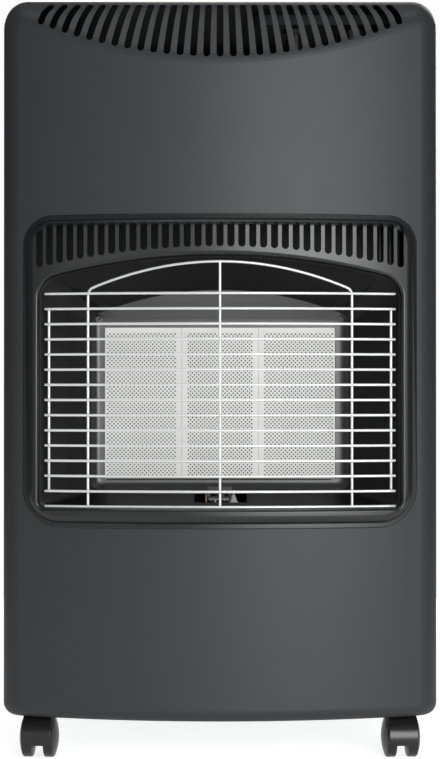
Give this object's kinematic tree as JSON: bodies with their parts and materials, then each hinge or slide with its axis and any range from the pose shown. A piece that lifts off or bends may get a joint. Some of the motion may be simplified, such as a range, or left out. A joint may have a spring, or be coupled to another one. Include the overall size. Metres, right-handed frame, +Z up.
{
  "type": "portable gas cabinet heater",
  "caption": "Portable gas cabinet heater on twin-wheel castors: bowed steel casing, arched firebox with wire guard and ceramic radiant plaques, cylinder bay behind a lift-off rear panel.",
  "frame": {"origin": "on the floor under the middle of the cabinet", "axes": "+Z up, the firebox faces -Y, +X is to the right seen from the front"},
  "size_m": [0.422, 0.45, 0.754],
  "materials": {
    "casing_paint": "satin anthracite powder coat",
    "black_enamel": "satin black heat-resisting enamel",
    "galvanised_steel": "galvanised sheet",
    "guard_chrome": "bright chrome wire",
    "burner_steel": "dull rolled stainless steel",
    "burner_casting": "as-cast",
    "plaque_ceramic": "unglazed white ceramic",
    "pipe_aluminium": "drawn",
    "brass": "turned",
    "electrode_ceramic": "glazed ceramic",
    "zinc_steel": "zinc plated",
    "control_plastic": "black moulded",
    "castor_nylon": "black moulded nylon"
  },
  "bodies": {
    "cabinet": {"front_panel": "casing_paint", "side_panel_left": "casing_paint", "side_panel_right": "casing_paint", "top_panel": "casing_paint", "base_tray": "galvanised_steel", "heat_shield": "galvanised_steel", "rear_rail": "galvanised_steel", "casing_screws": "zinc_steel", "bezel": "black_enamel", "firebox_liner": "black_enamel", "burner_frame": "burner_steel", "burner_body": "burner_casting", "injectors": "brass", "injector_bracket": "galvanised_steel", "guard_horizontal_wires": "guard_chrome", "guard_upright_wires": "guard_chrome", "pilot_bracket": "burner_steel", "pilot_burner": "brass", "thermocouple": "brass", "spark_electrode": "electrode_ceramic", "pilot_pipe": "pipe_aluminium", "gas_valve": "burner_casting", "hose_inlet": "brass", "igniter_barrel": "control_plastic", "castor_sockets": "zinc_steel", "plaque_left": "plaque_ceramic", "plaque_centre": "plaque_ceramic", "plaque_right": "plaque_ceramic", "venturi_left": "burner_casting", "venturi_centre": "burner_casting", "venturi_right": "burner_casting", "gas_pipe_left": "pipe_aluminium", "gas_pipe_centre": "pipe_aluminium", "gas_pipe_right": "pipe_aluminium"},
    "rear_cover": {"rear_panel": "casing_paint"},
    "valve_push": {"valve_plunger": "zinc_steel"},
    "knob": {"valve_spindle": "zinc_steel", "control_knob": "control_plastic"},
    "igniter_push": {"igniter_button": "control_plastic"},
    "castor_front_left": {"castor_hood_front_left": "castor_nylon", "castor_stem_front_left": "zinc_steel", "castor_axle_front_left": "zinc_steel"},
    "wheel_left_front_left": {"wheel_left_front_left": "castor_nylon"},
    "wheel_right_front_left": {"wheel_right_front_left": "castor_nylon"},
    "castor_front_right": {"castor_hood_front_right": "castor_nylon", "castor_stem_front_right": "zinc_steel", "castor_axle_front_right": "zinc_steel"},
    "wheel_left_front_right": {"wheel_left_front_right": "castor_nylon"},
    "wheel_right_front_right": {"wheel_right_front_right": "castor_nylon"},
    "castor_rear_left": {"castor_hood_rear_left": "castor_nylon", "castor_stem_rear_left": "zinc_steel", "castor_axle_rear_left": "zinc_steel"},
    "wheel_left_rear_left": {"wheel_left_rear_left": "castor_nylon"},
    "wheel_right_rear_left": {"wheel_right_rear_left": "castor_nylon"},
    "castor_rear_right": {"castor_hood_rear_right": "castor_nylon", "castor_stem_rear_right": "zinc_steel", "castor_axle_rear_right": "zinc_steel"},
    "wheel_left_rear_right": {"wheel_left_rear_right": "castor_nylon"},
    "wheel_right_rear_right": {"wheel_right_rear_right": "castor_nylon"}
  },
  "joints": [
    {"name": "rear_panel_lift", "type": "slide", "parent": "cabinet", "child": "rear_cover", "axis": [0, 0, 1], "range_m": [0, 0.72]},
    {"name": "knob_press", "type": "slide", "parent": "cabinet", "child": "valve_push", "axis": [0, 0, -1], "range_m": [0, 0.004], "stiffness_N_per_m": 500, "springref_m": -0.003},
    {"name": "knob_turn", "type": "hinge", "parent": "valve_push", "child": "knob", "pos_m": [0.14, -0.038, 0.74], "axis": [0, 0, 1], "range_deg": [0, 270]},
    {"name": "igniter_press", "type": "slide", "parent": "cabinet", "child": "igniter_push", "axis": [0, 0, -1], "range_m": [0, 0.006], "stiffness_N_per_m": 600, "springref_m": -0.003},
    {"name": "castor_front_left_swivel", "type": "hinge", "parent": "cabinet", "child": "castor_front_left", "pos_m": [-0.1755, -0.14, 0.04], "axis": [0, 0, 1], "continuous": true},
    {"name": "wheel_left_front_left_spin", "type": "hinge", "parent": "castor_front_left", "child": "wheel_left_front_left", "pos_m": [-0.17648, -0.15397, 0.02], "axis": [0.9976, -0.0698, 0], "continuous": true},
    {"name": "wheel_right_front_left_spin", "type": "hinge", "parent": "castor_front_left", "child": "wheel_right_front_left", "pos_m": [-0.17648, -0.15397, 0.02], "axis": [0.9976, -0.0698, 0], "continuous": true},
    {"name": "castor_front_right_swivel", "type": "hinge", "parent": "cabinet", "child": "castor_front_right", "pos_m": [0.1755, -0.14, 0.04], "axis": [0, 0, 1], "continuous": true},
    {"name": "wheel_left_front_right_spin", "type": "hinge", "parent": "castor_front_right", "child": "wheel_left_front_right", "pos_m": [0.17648, -0.15397, 0.02], "axis": [0.9976, 0.0698, 0], "continuous": true},
    {"name": "wheel_right_front_right_spin", "type": "hinge", "parent": "castor_front_right", "child": "wheel_right_front_right", "pos_m": [0.17648, -0.15397, 0.02], "axis": [0.9976, 0.0698, 0], "continuous": true},
    {"name": "castor_rear_left_swivel", "type": "hinge", "parent": "cabinet", "child": "castor_rear_left", "pos_m": [-0.1755, 0.166, 0.04], "axis": [0, 0, 1], "continuous": true},
    {"name": "wheel_left_rear_left_spin", "type": "hinge", "parent": "castor_rear_left", "child": "wheel_left_rear_left", "pos_m": [-0.16958, 0.15331, 0.02], "axis": [0.9063, 0.4226, 0], "continuous": true},
    {"name": "wheel_right_rear_left_spin", "type": "hinge", "parent": "castor_rear_left", "child": "wheel_right_rear_left", "pos_m": [-0.16958, 0.15331, 0.02], "axis": [0.9063, 0.4226, 0], "continuous": true},
    {"name": "castor_rear_right_swivel", "type": "hinge", "parent": "cabinet", "child": "castor_rear_right", "pos_m": [0.1755, 0.166, 0.04], "axis": [0, 0, 1], "continuous": true},
    {"name": "wheel_left_rear_right_spin", "type": "hinge", "parent": "castor_rear_right", "child": "wheel_left_rear_right", "pos_m": [0.16958, 0.15331, 0.02], "axis": [0.9063, -0.4226, 0], "continuous": true},
    {"name": "wheel_right_rear_right_spin", "type": "hinge", "parent": "castor_rear_right", "child": "wheel_right_rear_right", "pos_m": [0.16958, 0.15331, 0.02], "axis": [0.9063, -0.4226, 0], "continuous": true}
  ]
}
